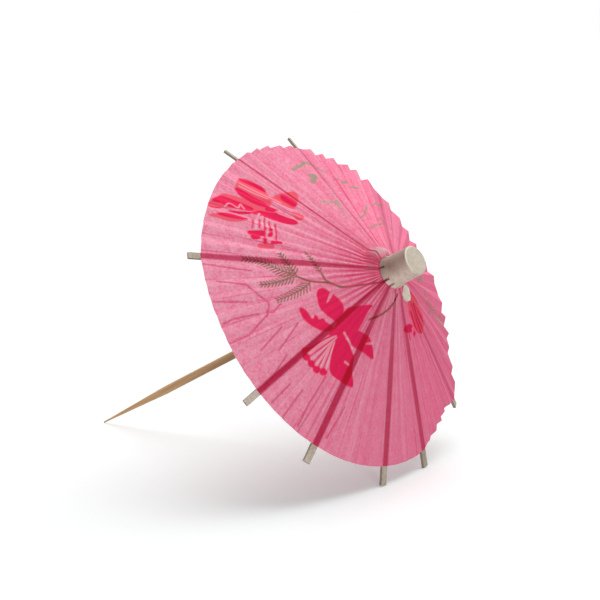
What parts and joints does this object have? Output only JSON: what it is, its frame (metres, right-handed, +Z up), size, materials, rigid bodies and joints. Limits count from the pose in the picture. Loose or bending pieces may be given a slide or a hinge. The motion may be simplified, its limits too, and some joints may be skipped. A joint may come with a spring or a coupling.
{
  "type": "cocktail umbrella pick",
  "caption": "Folding paper cocktail umbrella on a pointed wooden pick: pleated tissue canopy on creased card ribs and struts, lying open on its side.",
  "frame": {"origin": "middle of the footprint's box, on the table that the open umbrella lies on", "axes": "+Z up from the table; +X along the table under the stick, from the point towards the cap"},
  "size_m": [0.0888, 0.0788, 0.0708],
  "materials": {
    "bamboo": "plain sanded wood",
    "rib_card": "grey-beige card strip",
    "cap_card": "cream wound card",
    "sleeve_paper": "rolled pink tissue",
    "newsprint": "rolled grey newsprint",
    "ring_plastic": "white moulded plastic",
    "tissue": "printed pink tissue paper"
  },
  "bodies": {
    "pick": {"pick_stick": "bamboo", "crown_cap": "cap_card", "rib_roots": "rib_card", "upper_sleeve": "sleeve_paper"},
    "runner": {"runner_sleeve": "sleeve_paper", "runner_band": "sleeve_paper", "spacer_sleeve": "newsprint", "stop_ring": "ring_plastic"},
    "rib_1_fold": {"rib_1": "rib_card", "strut_tab_1": "rib_card", "canopy_1": "tissue"},
    "strut_1_fold": {"strut_1": "rib_card"},
    "rib_2_fold": {"rib_2": "rib_card", "strut_tab_2": "rib_card", "canopy_2": "tissue"},
    "strut_2_fold": {"strut_2": "rib_card"},
    "rib_3_fold": {"rib_3": "rib_card", "strut_tab_3": "rib_card", "canopy_3": "tissue"},
    "strut_3_fold": {"strut_3": "rib_card"},
    "rib_4_fold": {"rib_4": "rib_card", "strut_tab_4": "rib_card", "canopy_4": "tissue"},
    "strut_4_fold": {"strut_4": "rib_card"},
    "rib_5_fold": {"rib_5": "rib_card", "strut_tab_5": "rib_card", "canopy_5": "tissue"},
    "strut_5_fold": {"strut_5": "rib_card"},
    "rib_6_fold": {"rib_6": "rib_card", "strut_tab_6": "rib_card", "canopy_6": "tissue"},
    "strut_6_fold": {"strut_6": "rib_card"},
    "rib_7_fold": {"rib_7": "rib_card", "strut_tab_7": "rib_card", "canopy_7": "tissue"},
    "strut_7_fold": {"strut_7": "rib_card"},
    "rib_8_fold": {"rib_8": "rib_card", "strut_tab_8": "rib_card", "canopy_8": "tissue"},
    "strut_8_fold": {"strut_8": "rib_card"},
    "rib_9_fold": {"rib_9": "rib_card", "strut_tab_9": "rib_card", "canopy_9": "tissue"},
    "strut_9_fold": {"strut_9": "rib_card"},
    "rib_10_fold": {"rib_10": "rib_card", "strut_tab_10": "rib_card", "canopy_10": "tissue"},
    "strut_10_fold": {"strut_10": "rib_card"}
  },
  "joints": [
    {"name": "runner_slide", "type": "slide", "parent": "pick", "child": "runner", "axis": [0.8718, 0, 0.4898], "range_m": [-0.01833, 0], "deforming": ["canopy_1", "canopy_2", "canopy_3", "canopy_4", "canopy_5", "canopy_6", "canopy_7", "canopy_8", "canopy_9", "canopy_10"]},
    {"name": "rib_1_crease", "type": "hinge", "parent": "pick", "child": "rib_1_fold", "pos_m": [0.03756, -0.00001, 0.04344], "axis": [0.0977, 0.9799, -0.1738], "range_deg": [0, 54.01]},
    {"name": "strut_1_crease", "type": "hinge", "parent": "rib_1_fold", "child": "strut_1_fold", "pos_m": [0.03754, -0.00315, 0.02571], "axis": [0.0977, 0.9799, -0.1738], "range_deg": [-108.01, 0]},
    {"name": "rib_2_crease", "type": "hinge", "parent": "pick", "child": "rib_2_fold", "pos_m": [0.03756, 0.00095, 0.04344], "axis": [-0.0977, 0.9799, 0.1738], "range_deg": [0, 54.01]},
    {"name": "strut_2_crease", "type": "hinge", "parent": "rib_2_fold", "child": "strut_2_fold", "pos_m": [0.03754, 0.00409, 0.02571], "axis": [-0.0977, 0.9799, 0.1738], "range_deg": [-108.01, 0]},
    {"name": "rib_3_crease", "type": "hinge", "parent": "pick", "child": "rib_3_fold", "pos_m": [0.03727, 0.00209, 0.04395], "axis": [-0.3309, 0.7373, 0.589], "range_deg": [0, 54.01]},
    {"name": "strut_3_crease", "type": "hinge", "parent": "rib_3_fold", "child": "strut_3_fold", "pos_m": [0.03538, 0.01274, 0.02955], "axis": [-0.3309, 0.7373, 0.589], "range_deg": [-108.01, 0]},
    {"name": "rib_4_crease", "type": "hinge", "parent": "pick", "child": "rib_4_fold", "pos_m": [0.03658, 0.00284, 0.04518], "axis": [-0.4845, 0.1478, 0.8622], "range_deg": [0, 54.01]},
    {"name": "strut_4_crease", "type": "hinge", "parent": "rib_4_fold", "child": "strut_4_fold", "pos_m": [0.03013, 0.01844, 0.03888], "axis": [-0.4845, 0.1478, 0.8622], "range_deg": [-108.01, 0]},
    {"name": "rib_5_crease", "type": "hinge", "parent": "pick", "child": "rib_5_fold", "pos_m": [0.0358, 0.00253, 0.04657], "axis": [-0.4199, -0.515, 0.7473], "range_deg": [0, 54.01]},
    {"name": "strut_5_crease", "type": "hinge", "parent": "rib_5_fold", "child": "strut_5_fold", "pos_m": [0.02423, 0.01604, 0.04938], "axis": [-0.4199, -0.515, 0.7473], "range_deg": [-108.01, 0]},
    {"name": "rib_6_crease", "type": "hinge", "parent": "pick", "child": "rib_6_fold", "pos_m": [0.03529, 0.00123, 0.04747], "axis": [-0.1554, -0.9483, 0.2766], "range_deg": [0, 54.01]},
    {"name": "strut_6_crease", "type": "hinge", "parent": "rib_6_fold", "child": "strut_6_fold", "pos_m": [0.02038, 0.00624, 0.05624], "axis": [-0.1554, -0.9483, 0.2766], "range_deg": [-108.01, 0]},
    {"name": "rib_7_crease", "type": "hinge", "parent": "pick", "child": "rib_7_fold", "pos_m": [0.03527, -0.00011, 0.04752], "axis": [0.1185, -0.9703, -0.2109], "range_deg": [0, 54.01]},
    {"name": "strut_7_crease", "type": "hinge", "parent": "rib_7_fold", "child": "strut_7_fold", "pos_m": [0.02018, -0.00392, 0.05659], "axis": [0.1185, -0.9703, -0.2109], "range_deg": [-108.01, 0]},
    {"name": "rib_8_crease", "type": "hinge", "parent": "pick", "child": "rib_8_fold", "pos_m": [0.03583, -0.00162, 0.04652], "axis": [0.4263, -0.4924, -0.7588], "range_deg": [0, 54.01]},
    {"name": "strut_8_crease", "type": "hinge", "parent": "rib_8_fold", "child": "strut_8_fold", "pos_m": [0.02443, -0.01534, 0.04902], "axis": [0.4263, -0.4924, -0.7588], "range_deg": [-108.01, 0]},
    {"name": "rib_9_crease", "type": "hinge", "parent": "pick", "child": "rib_9_fold", "pos_m": [0.03678, -0.0018, 0.04483], "axis": [0.4645, 0.3173, -0.8268], "range_deg": [0, 54.01]},
    {"name": "strut_9_crease", "type": "hinge", "parent": "rib_9_fold", "child": "strut_9_fold", "pos_m": [0.03164, -0.01676, 0.0362], "axis": [0.4645, 0.3173, -0.8268], "range_deg": [-108.01, 0]},
    {"name": "rib_10_crease", "type": "hinge", "parent": "pick", "child": "rib_10_fold", "pos_m": [0.03725, -0.00121, 0.044], "axis": [0.3433, 0.7133, -0.6111], "range_deg": [0, 54.01]},
    {"name": "strut_10_crease", "type": "hinge", "parent": "rib_10_fold", "child": "strut_10_fold", "pos_m": [0.03516, -0.01226, 0.02993], "axis": [0.3433, 0.7133, -0.6111], "range_deg": [-108.01, 0]}
  ],
  "couplings": [
    {"joint": "rib_1_crease", "follows": "runner_slide", "rad_per_m": -51.413},
    {"joint": "strut_1_crease", "follows": "runner_slide", "rad_per_m": 102.83},
    {"joint": "rib_2_crease", "follows": "runner_slide", "rad_per_m": -51.413},
    {"joint": "strut_2_crease", "follows": "runner_slide", "rad_per_m": 102.83},
    {"joint": "rib_3_crease", "follows": "runner_slide", "rad_per_m": -51.413},
    {"joint": "strut_3_crease", "follows": "runner_slide", "rad_per_m": 102.83},
    {"joint": "rib_4_crease", "follows": "runner_slide", "rad_per_m": -51.413},
    {"joint": "strut_4_crease", "follows": "runner_slide", "rad_per_m": 102.83},
    {"joint": "rib_5_crease", "follows": "runner_slide", "rad_per_m": -51.413},
    {"joint": "strut_5_crease", "follows": "runner_slide", "rad_per_m": 102.83},
    {"joint": "rib_6_crease", "follows": "runner_slide", "rad_per_m": -51.413},
    {"joint": "strut_6_crease", "follows": "runner_slide", "rad_per_m": 102.83},
    {"joint": "rib_7_crease", "follows": "runner_slide", "rad_per_m": -51.413},
    {"joint": "strut_7_crease", "follows": "runner_slide", "rad_per_m": 102.83},
    {"joint": "rib_8_crease", "follows": "runner_slide", "rad_per_m": -51.413},
    {"joint": "strut_8_crease", "follows": "runner_slide", "rad_per_m": 102.83},
    {"joint": "rib_9_crease", "follows": "runner_slide", "rad_per_m": -51.413},
    {"joint": "strut_9_crease", "follows": "runner_slide", "rad_per_m": 102.83},
    {"joint": "rib_10_crease", "follows": "runner_slide", "rad_per_m": -51.413},
    {"joint": "strut_10_crease", "follows": "runner_slide", "rad_per_m": 102.83}
  ]
}
